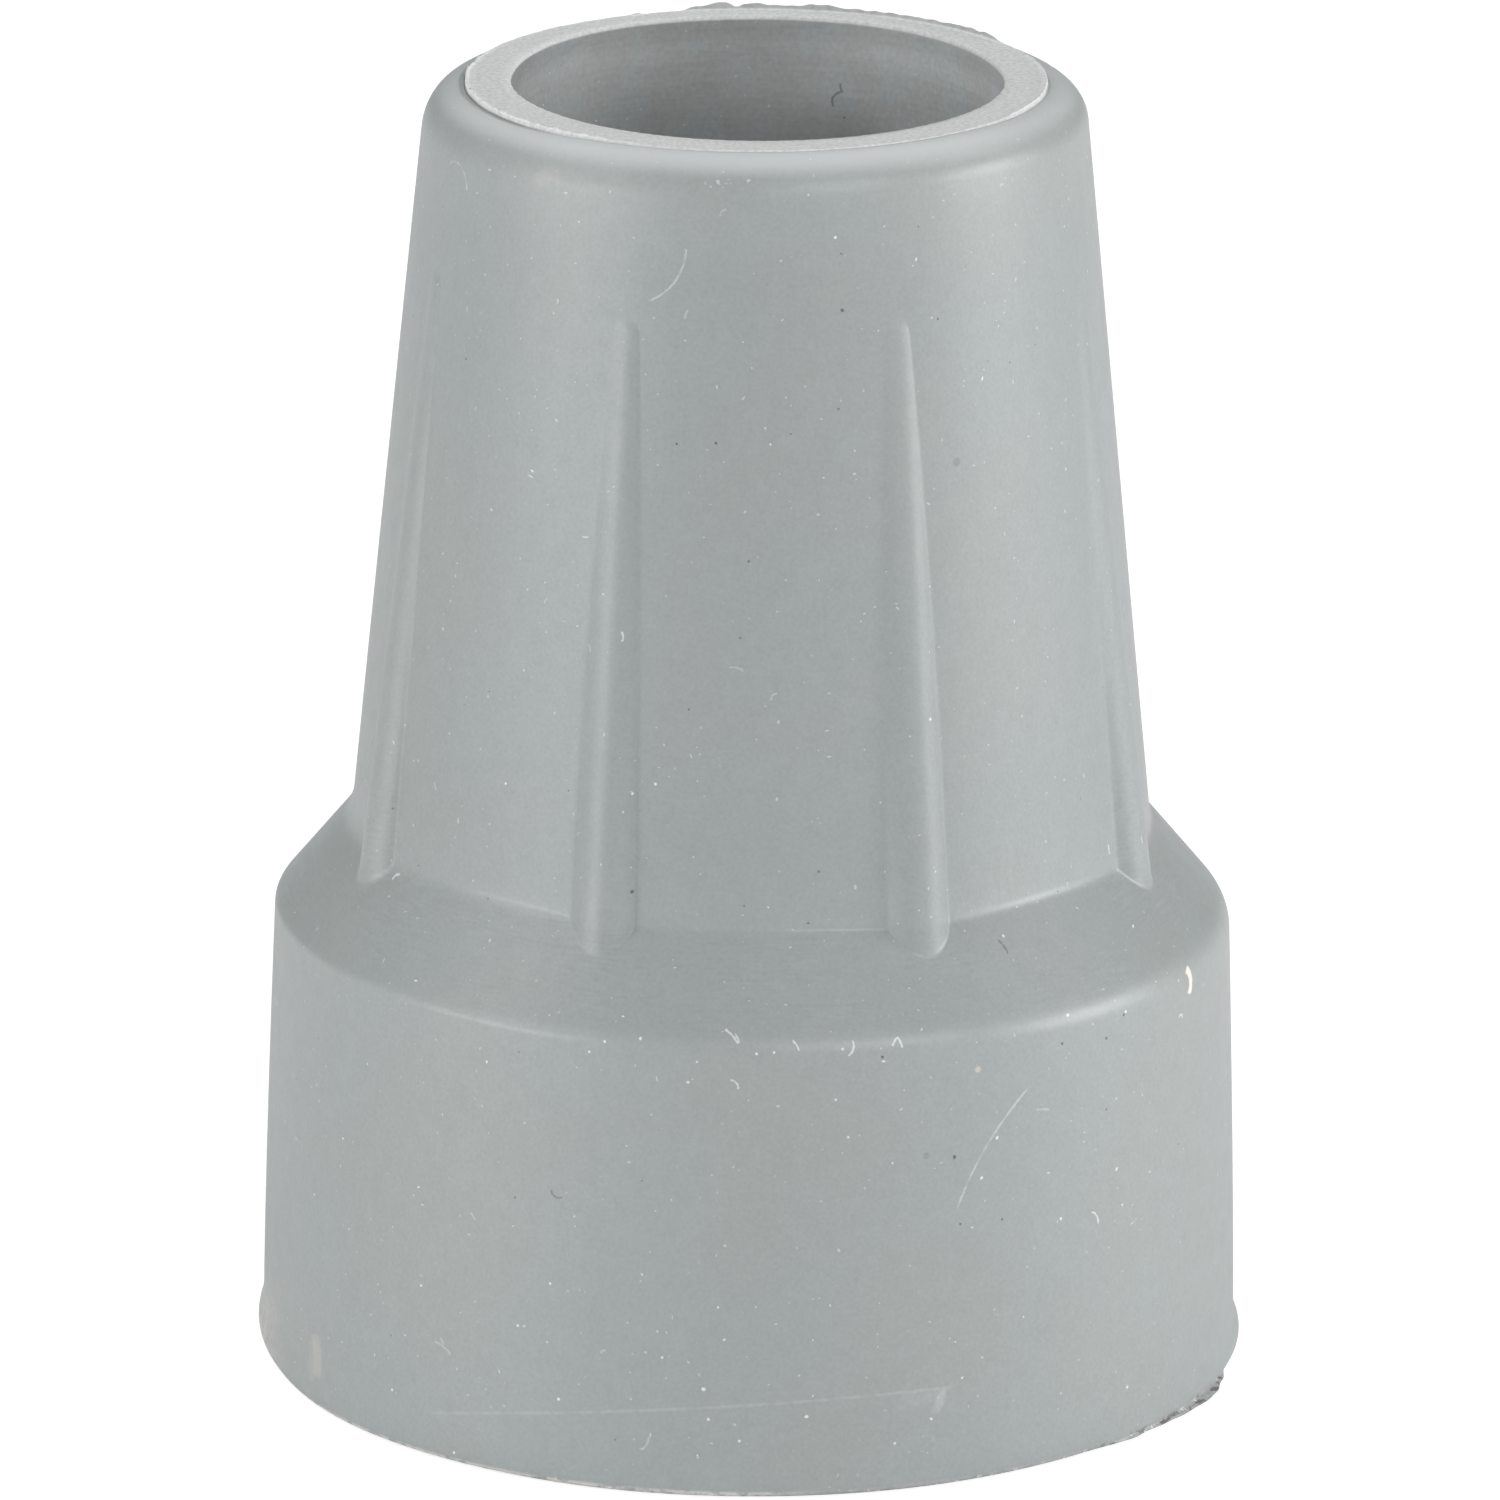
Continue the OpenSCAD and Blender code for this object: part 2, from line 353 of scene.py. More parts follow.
def add_tread(skin):
    theta, _ = columns(SLEEVE_FOOT_Z, 1)
    half = GROOVE_W / 2
    floor = half * GROOVE_FLOOR_SHARE
    groove = [(-half - 0.10, 0), (-half - 0.02, 0.03), (-half + 0.05, 0.12),
              (-floor - 0.06, GROOVE_DEPTH - 0.10), (-floor + 0.05, GROOVE_DEPTH)]
    groove += [(-x, z) for x, z in reversed(groove)]
    skin.ring(theta, 1.2, 0)
    skin.ring(theta, 3.0, 0)
    for i in range(GROOVE_COUNT):
        for x, z in groove:
            skin.ring(theta, GROOVE_FIRST_R + i * GROOVE_PITCH + x, z)
    skin.ring(theta, 17.0, 0)


def bead_r(theta, z):
    """Radius of the foot of the base: a soft bead that fades out in front, lower and
    sharper on the right, with a thin flash lip under it at the front right."""
    right = 0.5 + 0.5 * np.sin(theta)
    front = plateau(theta, -64, 78, 24)
    t = np.clip(z / (BEAD_H * (1.05 - 0.32 * right)), 0, 1)
    swell = (BEAD_PROUD + 0.06 * right) * np.sin(math.pi * t ** (1 - 0.3 * right))
    drawn_in = BEAD_TUCK + 0.22 * hump(theta, -43, 30) + 0.14 * hump(theta, 40, 26)
    tuck = drawn_in * (1 - t) ** (BEAD_TUCK_POWER - right + 16 * front)
    lip_size = 0.28 * plateau(theta, 45, 74, 9) + 0.27 * hump(theta, 66, 13)
    lip_size = lip_size * (1 + 0.08 * ripple(theta, 5, 30, 90))
    lip = lip_size * np.exp(-((z / 0.10) ** 4))
    return wall_r(theta, z) + swell * (1 - 0.9 * front) - tuck + lip


def wall_r(theta, z):
    """Radius of the base wall at height z. It too leans a little to the right."""
    share = np.clip((z - BEAD_H) / (BASE_WALL_H - BEAD_H), 0, None)
    top_r = BASE_TOP_R + BASE_SHIFT * np.sin(theta)
    return BASE_FOOT_R + (top_r - BASE_FOOT_R) * share**WALL_CURVE


def add_foot(skin):
    theta, _ = columns(SLEEVE_FOOT_Z, 1)
    for z in (0, 0.05, 0.10, 0.15, 0.20, 0.27, 0.36, 0.48, 0.62, 0.78, 0.96, 1.16, 1.4, 1.65):
        skin.ring(theta, bead_r(theta, z), z)
    skin.ring(theta, bead_r(theta, 2.1), 2.1)


def add_base_wall(skin):
    for z in (3.2, 5.5, 8, 10.5, 13, 15, 16):
        theta, _ = columns(SLEEVE_FOOT_Z, 1)
        skin.ring(theta, wall_r(theta, z), z)


def shoulder_edge_r(theta):
    """Radius that rounds the outer edge of the shoulder: crisper on the left."""
    return EDGE_ROUND + EDGE_CRISPER * np.sin(theta)


def shoulder_z(theta, r):
    """Height of the shoulder's slope at radius r."""
    return SLEEVE_FOOT_Z - (r - SLEEVE_FOOT_R) / SHOULDER_RUN - SHOULDER_TILT * np.sin(theta)


def foot_height(theta, delta):
    """Height at which the ribbed sleeve meets the slope of the shoulder."""
    z = np.full_like(delta, SLEEVE_FOOT_Z)
    for _ in range(12):
        z = shoulder_z(theta, outer_r(theta, delta, z))
    return z


def neck_reach(theta, delta):
    """How far the fillet between shoulder and sleeve reaches: wide at the left, tight
    around the ribs and under the front panel."""
    rib = np.clip(1 - np.abs(delta) / math.radians(9), 0, 1)
    reach = 0.26 + 0.53 * hump(theta, -95, 50) - 0.15 * plateau(theta, -20, 20, 6)
    return reach * (1 - 0.55 * rib)


def add_shoulder(skin):
    turn = math.atan2(SLOPE_OUT, SLOPE_UP)
    theta, _ = columns(NECK_COLUMNS_Z, 1)
    top_r = BASE_TOP_R + BASE_SHIFT * np.sin(theta)
    corner_z = shoulder_z(theta, top_r)
    reach = shoulder_edge_r(theta) * math.tan(turn / 2)
    start = (wall_r(theta, corner_z - reach), corner_z - reach)
    end = (top_r - SLOPE_OUT * reach, corner_z + SLOPE_UP * reach)
    for t in np.linspace(0, 1, 9):
        skin.ring(theta, *arc(start, (top_r, corner_z), end, t, turn))
    for t in (0.2, 0.4, 0.6, 0.8):
        theta, delta = columns(NECK_COLUMNS_Z, (1 - t) ** CREASE_FADE)
        reach = shoulder_edge_r(theta) * math.tan(turn / 2)
        top_r = BASE_TOP_R + BASE_SHIFT * np.sin(theta)
        low_z = shoulder_z(theta, top_r) + SLOPE_UP * reach
        top_z = foot_height(theta, delta) - neck_reach(theta, delta) * SLOPE_UP
        z = low_z + (top_z - low_z) * t
        tilt = SHOULDER_TILT * np.sin(theta)
        skin.ring(theta, SLEEVE_FOOT_R + (SLEEVE_FOOT_Z - tilt - z) * SHOULDER_RUN, z)


def add_sleeve(skin):
    theta, delta = columns(NECK_COLUMNS_Z, 0)
    meet_z = foot_height(theta, delta)
    meet_r = outer_r(theta, delta, meet_z)
    reach = neck_reach(theta, delta)
    low = (meet_r + reach * SLOPE_OUT, meet_z - reach * SLOPE_UP)
    high = (outer_r(theta, delta, meet_z + reach), meet_z + reach)
    for t in np.linspace(0, 1, 6):
        skin.ring(theta, *arc(low, (meet_r, meet_z), high, t, NECK_TURN))
    for share in (.02, .05, .09, .14, .20, .28, .38, .5, .62, .74, .84, .92, .97):
        nominal = SLEEVE_FOOT_Z + (RIB_TIP_LOW - SLEEVE_FOOT_Z) * share
        theta, delta = columns(nominal, 0)
        start = foot_height(theta, delta) + neck_reach(theta, delta)
        z = start + (RIB_TIP_LOW - start) * share
        skin.ring(theta, outer_r(theta, delta, z), z)
    for z in np.linspace(RIB_TIP_LOW, RIB_TIP_HIGH, 9):
        theta, delta = columns(z, 0)
        skin.ring(theta, outer_r(theta, delta, z), z)
    for t in (0.25, 0.5, 0.75):
        z = RIB_TIP_HIGH + (RIM_Z - SLEEVE_TOP_GAP - RIB_TIP_HIGH) * t
        theta, delta = columns(z, t * t * (3 - 2 * t))
        skin.ring(theta, outer_r(theta, delta, z), z)


def flash_height(theta):
    """Height of the ragged moulding flash on the land's outer edge: a torn fin at the
    back, and a low thin ridge elsewhere."""
    fin = 0.19 * plateau(theta, 121, 192, 5)
    for azimuth, half_width, height in (
            (185, 3.2, 0.13), (178, 3, 0.07), (165, 5, 0.09), (131, 4, 0.03),
            (203, 2.5, 0.08), (182, 1.4, -0.08), (172, 3, -0.02)):
        fin = fin + height * hump(theta, azimuth, half_width)
    torn = 0.02 * ripple(theta, 11, 40, 110) * plateau(theta, 118, 206, 5)
    left = plateau(theta, -112, -26, 14)
    right = 0.05 * plateau(theta, 60, 108, 12)
    ridge = 0.012 + 0.05 * left + right
    ridge = ridge + (0.014 + 0.022 * left) * ripple(theta, 12, 30, 120)
    return np.clip(np.maximum(ridge, fin + torn), 0.01, FLASH_TOP)


def flash_gap(theta):
    """Depth of the slit that runs outside the flash at the left."""
    return 0.07 * plateau(theta, -104, -48, 14) * (1 + 0.25 * ripple(theta, 13, 20, 60))


def rim_drop(theta):
    """How far the outside of the rim lies under its nominal height: more at the left, and
    less at the front, where it runs up to the land."""
    back = 0.10 * hump(theta, -135, 45) + 0.09 * hump(theta, 112, 50)
    return 0.03 - 0.03 * np.sin(theta) + back - FRONT_RISE * plateau(theta, -44, 52, 30)


def mouth_tear(theta):
    """How far the torn edge of the mouth is cut back into the land."""
    rough = 0.022 * np.maximum(ripple(theta, 21, 40, 150), -0.6)
    torn = 0.09 * hump(theta, 82, 3) + 0.11 * hump(theta, 88, 2.5)
    return 0.01 + rough + torn


def add_rim(skin):
    theta, delta = columns(RIM_Z, 1)
    edge_z = RIM_Z - rim_drop(theta)
    down = RIM_DOWN - RIM_DOWN_TILT * np.sin(theta)
    start = (outer_r(theta, delta, edge_z - down), edge_z - down)
    corner = (outer_r(theta, delta, edge_z), edge_z)
    land_r = LAND_R + LAND_SHIFT * np.sin(theta)
    end = (land_r + RIM_LEDGE, edge_z)
    for t in np.linspace(0, 1, 12):
        skin.ring(theta, *arc(start, corner, end, t, RIM_TURN))
    fin, gap = flash_height(theta), flash_gap(theta)
    wander = 0.015 * ripple(theta, 14, 8, 50)
    edge = land_r + wander
    skin.ring(theta, edge + 0.045, edge_z - gap)
    skin.ring(theta, edge + 0.01, edge_z - gap)
    for inward, share in ((0, 0.55), (0.02, 0.92), (0.05, 1), (0.08, 0.9), (0.12, 0.25),
                          (FLASH_FOOT_W, 0)):
        skin.ring(theta, edge - inward, HEIGHT + share * fin)
    tear = mouth_tear(theta)
    mouth_r = bore_r(theta, HEIGHT)
    outer, inner = land_r - FLASH_FOOT_W, mouth_r + MOUTH_BEVEL + MOUTH_RIM_W
    for t in (0.15, 0.35, 0.6, 0.8):
        r = outer + (inner - outer) * t
        skin.ring(theta, r, HEIGHT + 0.008 * ripple(theta, 30 + int(10 * t), 20, 140))
    skin.ring(theta, mouth_r + MOUTH_BEVEL + tear, HEIGHT)
    skin.ring(theta, mouth_r + 0.4 * MOUTH_BEVEL + tear, HEIGHT - 0.03)
    skin.ring(theta, mouth_r + 0.1 * MOUTH_BEVEL + 0.6 * tear, HEIGHT - 0.09)
    skin.ring(theta, mouth_r + 0.2 * tear, HEIGHT - 0.20)


def bore_r(theta, z):
    """Radius of the socket's wall, which leans out a little to the right, the back and the
    front towards the mouth."""
    lean = np.clip((z - SHIFT_FROM_Z) / (HEIGHT - SHIFT_FROM_Z), 0, 1)
    out = MOUTH_BACK * plateau(theta, 130, 234, 60) + MOUTH_FRONT * hump(theta, 0, 70)
    return SOCKET_R + lean * (MOUTH_SHIFT * np.sin(theta) + out)


def add_socket(skin):
    theta, _ = columns(RIM_Z, 1)
    for z in (HEIGHT - 0.5, 50, 48, 45, 41, 36, 30, 24, 19):
        skin.ring(theta, bore_r(theta, z), z)
    corner = SOCKET_CORNER_R
    start = (SOCKET_R, SOCKET_FLOOR_Z + corner)
    end = (SOCKET_R - corner, SOCKET_FLOOR_Z)
    for t in np.linspace(0, 1, 6):
        skin.ring(theta, *arc(start, (SOCKET_R, SOCKET_FLOOR_Z), end, t, math.pi / 2))
    for r in (6.5, 4.0, 2.0, 0.8):
        skin.ring(theta, r, SOCKET_FLOOR_Z)


def make_cane_tip():
    skin = Skin()
    for add in (add_tread, add_foot, add_base_wall, add_shoulder, add_sleeve, add_rim,
                add_socket):
        add(skin)
    tip = bpy.data.objects.new("cane_tip_rubber", skin.mesh("cane_tip_rubber"))
    bpy.context.scene.collection.objects.link(tip)
    return tip


def nearest_crest(theta):
    """Angle from the nearest rib's crest to an azimuth."""
    return (theta + math.pi) % (2 * HALF_PITCH) - HALF_PITCH


def unrolled(azimuth_deg, z, inside=False):
    """Where a point of the outside, or of the socket's wall inside, lies once that is
    unrolled: arc length, height."""
    theta = math.radians(azimuth_deg)
    if inside:
        return theta * float(bore_r(theta, z)), z, 0.0
    tilt = SHOULDER_TILT * math.sin(theta)
    slope_r = SLEEVE_FOOT_R + (SLEEVE_FOOT_Z - tilt - z) * SHOULDER_RUN
    base_r = min(float(wall_r(theta, z)), slope_r)
    r = max(base_r, float(outer_r(theta, nearest_crest(theta), z)))
    return theta * r, z, 0.0


class Nodes:
    """Adds shader nodes to a material and joins them."""

    def __init__(self, material):
        self.tree = material.node_tree

    def put(self, socket, value):
        if isinstance(value, bpy.types.NodeSocket):
            self.tree.links.new(value, socket)
        else:
            socket.default_value = value

    def node(self, kind, inputs=None, **settings):
        node = self.tree.nodes.new("ShaderNode" + kind)
        for name, value in settings.items():
            setattr(node, name, value)
        for name, value in (inputs or {}).items():
            self.put(node.inputs[name], value)
        return node

    def math(self, operation, *values):
        node = self.node("Math", operation=operation)
        for socket, value in zip(node.inputs, values):
            self.put(socket, value)
        return node.outputs[0]

    def vector(self, operation, *values):
        node = self.node("VectorMath", operation=operation)
        for socket, value in zip(node.inputs, values):
            self.put(socket, value)
        is_number = operation in ("LENGTH", "DISTANCE", "DOT_PRODUCT")
        return node.outputs["Value" if is_number else "Vector"]

    def ease(self, value, low, high, to_low=0.0, to_high=1.0):
        """The value, taken smoothly from the range low..high to to_low..to_high."""
        node = self.node("MapRange", interpolation_type="SMOOTHSTEP")
        for name, number in (("Value", value), ("From Min", low), ("From Max", high),
                             ("To Min", to_low), ("To Max", to_high)):
            self.put(node.inputs[name], number)
        return node.outputs["Result"]

    def within(self, value, low, high, soft):
        """1 from low to high, falling to 0 over soft on both sides."""
        rise = self.ease(value, low - soft, low)
        return self.math("MULTIPLY", rise, self.ease(value, high, high + soft, 1.0, 0.0))

    def times(self, first, *others):
        for other in others:
            first = self.math("MULTIPLY", first, other)
        return first

    def noise(self, at, per_mm, detail=2.0):
        node = self.node("TexNoise", {"Vector": at, "Scale": per_mm, "Detail": detail})
        return node.outputs["Fac"]

    def mix(self, amount, below, above):
        """The colour above, laid over the colour below by an amount."""
        node = self.node("Mix", data_type="RGBA")
        for index, value in ((0, amount), (6, below), (7, above)):
            self.put(node.inputs[index], value)
        return node.outputs[2]

    def tone(self, colour, factor):
        node = self.node("VectorMath", {"Scale": factor}, operation="SCALE")
        self.put(node.inputs[0], colour)
        return node.outputs["Vector"]

    def near_lines(self, at, lines, width, rough, inside=False):
        """Mask of the surroundings of some lines. Each goes from an azimuth and height to
        another, and is bowed to its left by so many mm."""
        closest = 1000.0
        for azimuth_a, z_a, azimuth_b, z_b, bow in lines:
            start = np.array(unrolled(azimuth_a, z_a, inside))
            chord = np.array(unrolled(azimuth_b, z_b, inside)) - start
            length = math.hypot(chord[0], chord[1])
            left = np.array([-chord[1], chord[0], 0]) / length
            radius = (length**2 / 4 + bow**2) / (2 * bow)
            middle = start + chord / 2 + left * bow
            centre = middle - left * radius
            off = self.vector("DISTANCE", at, tuple(centre))
            off = self.math("ABSOLUTE", self.math("SUBTRACT", off, abs(radius)))
            past = self.vector("DISTANCE", at, tuple(middle))
            past = self.math("SUBTRACT", past, math.hypot(length / 2, bow))
            closest = self.math("MINIMUM", self.math("MAXIMUM", off, past), closest)
        return self.ease(self.math("ADD", closest, rough), width * 0.5, width, 1.0, 0.0)

    def near_dots(self, at, dots, rough):
        """Mask of some dots, each an azimuth, a height and a radius."""
        closest = 1000.0
        for azimuth_deg, z, radius in dots:
            gap = self.vector("DISTANCE", at, unrolled(azimuth_deg, z))
            closest = self.math("MINIMUM", self.math("SUBTRACT", gap, radius), closest)
        return self.ease(self.math("ADD", closest, rough), -0.03, 0.02, 1.0, 0.0)

    def crumbs(self, at, cell, share, radius):
        """Random crumbs: a share of the cells, each so wide, holds one."""
        voronoi = self.node("TexVoronoi", {"Vector": at, "Scale": 1 / cell})
        pick = self.node("SeparateColor", {"Color": voronoi.outputs["Color"]})
        size = self.math("MULTIPLY_ADD", pick.outputs["Green"], 0.6 * radius / cell,
                         0.4 * radius / cell)
        inside = self.math("SUBTRACT", size, voronoi.outputs["Distance"])
        chosen = self.math("LESS_THAN", pick.outputs["Red"], share)
        return self.times(self.ease(inside, 0.0, 0.4 * radius / cell), chosen)


class Spot:
    """Where a shaded point lies on the part, in millimetres and degrees."""

    def __init__(self, nodes):
        place = nodes.node("TexCoord").outputs["Object"]
        self.at = nodes.vector("DIVIDE", place, (MM, MM, MM))
        parts = nodes.node("SeparateXYZ", {"Vector": self.at})
        self.height = parts.outputs["Z"]
        self.radius = nodes.vector("LENGTH", nodes.vector("MULTIPLY", self.at, (1, 1, 0)))
        front = nodes.math("MULTIPLY", parts.outputs["Y"], -1.0)
        turn = nodes.math("ARCTAN2", parts.outputs["X"], front)
        self.azimuth = nodes.math("DEGREES", turn)
        arc_length = nodes.math("MULTIPLY", turn, self.radius)
        flat = nodes.node("CombineXYZ", {"X": arc_length, "Y": self.height})
        self.unrolled = flat.outputs["Vector"]
        high = nodes.times(nodes.ease(self.height, *LAND_Z),
                           nodes.ease(self.height, *FLASH_Z, 1.0, 0.0))
        self.land = nodes.times(high, nodes.within(self.radius, *LAND_SPAN_R, 0.06))
        low = nodes.ease(self.radius, *BORE_R, 1.0, 0.0)
        self.bore = nodes.times(low, nodes.ease(self.height, *BORE_Z))
        self.outside = nodes.ease(self.radius, *OUTSIDE_R)


def plain_rubber(nodes, spot):
    """Grey rubber, faintly clouded and grained, with painted shade that makes the ribbed sleeve
    a little darker.
    """
    clouds = nodes.ease(nodes.noise(spot.at, 0.11, 2.0), 0.35, 0.65)
    colour = nodes.mix(clouds, RUBBER_COOL, RUBBER_WARM)
    mottle = nodes.noise(spot.at, 1.3, 2.0)
    grain = nodes.noise(spot.at, 6.5, 1.0)
    tone = nodes.math("MULTIPLY_ADD", mottle, 0.10, 0.855)
    tone = nodes.math("MULTIPLY_ADD", grain, 0.19, tone)
    # Painted shade: the ribbed sleeve a little darker
    sleeve_shade = nodes.within(spot.height, *SLEEVE_SHADE_Z, 4.5)
    tone = nodes.times(tone, nodes.math("MULTIPLY_ADD", sleeve_shade, -0.05, 1.0))
    return nodes.tone(colour, tone)


def paint_land(nodes, spot, colour):
    """The cut land is paler and powdery, partly its own colour and partly painted light from
    above. The rounding outside it is paler too: a little scuff, and mostly a painted
    highlight, strongest in front. The flash is whitest at the left, and the torn fin at the
    back is brownish."""
    # The land's pale paint: its powdery cut face, and partly painted light from above
    powder = nodes.noise(spot.at, 5.5, 2.0)
    pale = nodes.mix(nodes.ease(powder, 0.30, 0.70), LAND_DARK, LAND_PALE)
    # Painted highlight, with a little scuff, on the rounding outside the land, strongest in
    # front
    around = nodes.math("ABSOLUTE", nodes.math("ADD", spot.azimuth, 10.0))
    scuff_and_highlight = nodes.times(nodes.ease(spot.height, *RIM_SCUFF_AND_HIGHLIGHT_Z), spot.outside,
                          nodes.ease(around, 45.0, 80.0, 0.72, 0.50))
    colour = nodes.mix(scuff_and_highlight, colour, SCUFF_AND_HIGHLIGHT_PALE)
    colour = nodes.mix(spot.land, colour, pale)
    fin = nodes.times(nodes.within(spot.radius, *FLASH_SPAN_R, 0.03),
                      nodes.ease(spot.height, *FLASH_Z))
    colour = nodes.mix(nodes.times(fin, 0.8), colour, FIN_GREY)
    edge = nodes.times(nodes.within(spot.radius, *FLASH_FOOT_SPAN_R, 0.03),
                       nodes.ease(spot.height, *FLASH_FOOT_Z))
    ragged = nodes.ease(nodes.noise(spot.at, 3.0, 2.0), 0.38, 0.52)
    left = nodes.within(spot.azimuth, -108.0, -38.0, 18.0)
    right = nodes.times(nodes.within(spot.azimuth, 66.0, 104.0, 12.0), 0.7)
    torn = nodes.math("MAXIMUM", nodes.math("MAXIMUM", left, right), 0.15)
    return nodes.mix(nodes.times(edge, ragged, torn, 0.9), colour, DUST_WHITE)


def paint_bore(nodes, spot, colour):
    """The wall of the socket is grainier, with brown clouds, faint level streaks and a short
    crack. Its tone holds painted light and shade: lighter towards the right and darker
    towards the left, darker further down at the back and front but lighter there at the
    sides, and darker under the mouth's lip."""
    clouds = nodes.ease(nodes.noise(spot.at, 0.55, 2.0), 0.40, 0.62)
    wall = nodes.mix(clouds, BORE_GREY, BORE_BROWN)
    streaks = nodes.noise(nodes.vector("MULTIPLY", spot.at, (0.5, 0.5, 6.0)), 1.0, 2.0)
    tone = nodes.math("MULTIPLY_ADD", streaks, 0.24, 0.71)
    tone = nodes.math("MULTIPLY_ADD", nodes.noise(spot.at, 5.0, 2.0), 0.34, tone)
    # Painted light and shade: the wall lighter towards the right, darker towards the left
    side = nodes.math("MULTIPLY", nodes.node("SeparateXYZ", {"Vector": spot.at}).outputs["X"],
                      1 / SOCKET_R)
    tone = nodes.times(tone, nodes.math("MULTIPLY_ADD", side, 0.22, 1.0))
    # Painted shade further down at the back and front, painted light there at the sides
    middle = nodes.ease(nodes.math("ABSOLUTE", side), 0.35, 0.80, -0.25, 0.12)
    deep = nodes.ease(spot.height, 46.8, 48.9, 1.0, 0.0)
    tone = nodes.times(tone, nodes.math("MULTIPLY_ADD", deep, middle, 1.0))
    # Painted shade under the mouth's lip: darker towards the top
    tone = nodes.times(tone, nodes.ease(spot.height, 49.9, 51.0, 1.0, 0.74))
    wall = nodes.tone(wall, tone)
    crack = nodes.near_lines(spot.unrolled, BORE_CRACK, 0.06, 0.0, inside=True)
    wall = nodes.mix(nodes.times(crack, 0.5), wall, DIRT_DARK)
    return nodes.mix(spot.bore, colour, wall)


def paint_tool_lines_and_shade(nodes, spot, colour):
    """Level tool marks on the shoulder, which painted shade makes a little darker, and chatter
    at the feet of the ribs."""
    streaks = nodes.noise(nodes.vector("MULTIPLY", spot.unrolled, (0.9, 8.0, 1.0)), 1.0, 2.0)
    shoulder = nodes.within(spot.height, *SHOULDER_SPAN_Z, 0.5)
    patchy = nodes.ease(nodes.noise(spot.at, 0.25, 2.0), 0.40, 0.62)
    rib_feet = nodes.within(nodes.math("ABSOLUTE", spot.azimuth), 63.0, 70.0, 3.0)
    rib_feet = nodes.times(rib_feet, nodes.within(spot.height, 22.0, 24.5, 1.2))
    depth = nodes.times(shoulder, patchy, 0.24)
    depth = nodes.math("MAXIMUM", depth, nodes.times(rib_feet, 0.22))
    tone = nodes.math("SUBTRACT", streaks, 0.5)
    tone = nodes.math("MULTIPLY_ADD", tone, depth, 1.0)
    # Painted shade: the shoulder a little darker
    tone = nodes.times(tone, nodes.math("MULTIPLY_ADD", shoulder, -0.05, 1.0))
    return nodes.tone(colour, tone)


def paint_dirt_and_foot_light(nodes, spot, colour):
    """A thin dirty line along the foot, thicker at the right, warm dust at the left, and a pale
    warm band along the foot, strongest in front, that is partly the lip's own tint and partly
    painted light.
    """
    speckle = nodes.noise(spot.at, 2.6, 4.0)
    fine = nodes.noise(spot.at, 4.0, 2.0)
    left = nodes.within(spot.azimuth, -90.0, -84.0, 14.0)
    low = nodes.ease(spot.height, 0.8, 4.6, 1.0, 0.0)
    smear = nodes.times(left, low, nodes.ease(speckle, 0.30, 0.62))
    colour = nodes.mix(nodes.times(smear, 0.6), colour, DUST_WARM)
    # Pale warm band along the foot, strongest in front: partly the lip's tint, partly painted
    # light against the shade under the tuck
    foot = nodes.times(nodes.ease(spot.height, 0.20, 0.34, 1.0, 0.0), spot.outside)
    lip_patches = nodes.ease(speckle, 0.34, 0.54)
    front = nodes.within(spot.azimuth, -78.0, -4.0, 12.0)
    amount = nodes.math("MULTIPLY_ADD", front, 0.72, 0.20)
    colour = nodes.mix(nodes.times(foot, lip_patches, amount), colour, LIP_TINT_AND_LIGHT)
    right = nodes.within(spot.azimuth, 46.0, 72.0, 7.0)
    band = nodes.ease(spot.height, 0.10, 0.36, 1.0, 0.0)
    dirt = nodes.times(right, band, nodes.ease(speckle, 0.51, 0.61))
    colour = nodes.mix(nodes.times(dirt, 0.75), colour, DIRT_DARK)
    edge = nodes.times(nodes.ease(spot.height, 0.03, 0.08, 1.0, 0.0), spot.outside)
    colour = nodes.mix(nodes.times(edge, nodes.ease(fine, 0.38, 0.5), 0.5), colour, DIRT_DARK)
    white = nodes.times(nodes.ease(spot.height, 0.10, 0.30, 1.0, 0.0), spot.outside)
    specks = nodes.ease(nodes.noise(spot.at, 3.2, 1.0), 0.64, 0.68)
    return nodes.mix(nodes.times(white, specks, 0.8), colour, DUST_WHITE)


def paint_crumbs(nodes, spot, colour):
    """Random white and dark crumbs and short fibres all over."""
    wavy = nodes.node("TexNoise", {"Vector": spot.at, "Scale": 1.4, "Detail": 0.0})
    wavy = nodes.vector("SUBTRACT", wavy.outputs["Color"], (0.5, 0.5, 0.5))
    loose = nodes.vector("ADD", spot.at, nodes.tone(wavy, 0.6))
    faint = nodes.crumbs(loose, 0.42, 0.55, 0.065)
    bright = nodes.crumbs(loose, 0.9, 0.36, 0.075)
    upright = nodes.vector("MULTIPLY", loose, (1.0, 1.0, 0.25))
    fibres = nodes.crumbs(upright, 0.6, 0.30, 0.05)
    dark = nodes.crumbs(spot.at, 0.95, 0.26, 0.07)
    colour = nodes.mix(nodes.times(dark, 0.6), colour, DIRT_DARK)
    pale = nodes.math("MAXIMUM", nodes.times(faint, 0.45), nodes.times(fibres, 0.5))
    pale = nodes.math("MAXIMUM", pale, nodes.times(bright, 0.8))
    return nodes.mix(pale, colour, DUST_WHITE)


